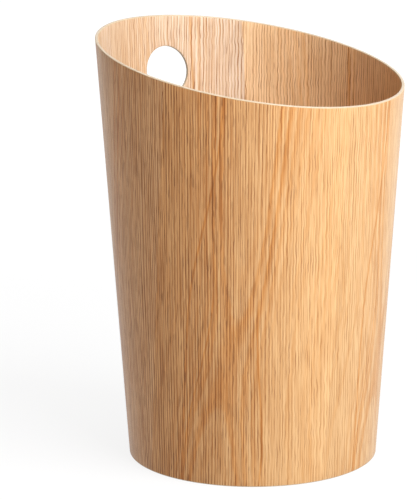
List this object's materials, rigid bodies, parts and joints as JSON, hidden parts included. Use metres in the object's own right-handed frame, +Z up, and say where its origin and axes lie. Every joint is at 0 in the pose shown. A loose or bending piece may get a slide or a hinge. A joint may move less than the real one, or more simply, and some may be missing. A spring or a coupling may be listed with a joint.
{
  "type": "wastebasket",
  "caption": "Tapered wastebasket of moulded oak plywood with a sloping rim, a round finger hole in its tall side and a flat base.",
  "frame": {"origin": "on the axis of the conical wall, in the plane of its bottom edge, where the basket stands; the sloping rim puts the bounding box's centre 2.2 mm to the +Y side of it", "axes": "+Z up along the wall's axis; +Y towards the tall side with the finger hole; +X to the right of someone facing +Y"},
  "size_m": [0.2594, 0.2595, 0.3739],
  "materials": {
    "outer_face_oak": "satin clear lacquer over flat-sawn oak veneer",
    "inner_face_oak": "satin clear lacquer over oak veneer",
    "hidden_ply_wood": "sanded pale plywood plies, seen only at cut edges",
    "base_face_oak": "satin clear lacquer over oak veneer",
    "hoop_wood": "sanded bent hardwood strip"
  },
  "bodies": {
    "root": {"outer_leaf_1": "outer_face_oak", "outer_leaf_2": "outer_face_oak", "outer_leaf_3": "outer_face_oak", "outer_leaf_4": "outer_face_oak", "outer_leaf_5": "outer_face_oak", "outer_leaf_6": "outer_face_oak", "inner_leaf_1": "inner_face_oak", "inner_leaf_2": "inner_face_oak", "inner_leaf_3": "inner_face_oak", "inner_leaf_4": "inner_face_oak", "inner_leaf_5": "inner_face_oak", "outer_crossband": "hidden_ply_wood", "core_ply": "hidden_ply_wood", "inner_crossband": "hidden_ply_wood", "base_top_veneer": "base_face_oak", "base_core": "hidden_ply_wood", "base_bottom_veneer": "base_face_oak", "base_hoop": "hoop_wood"}
  },
  "joints": []
}
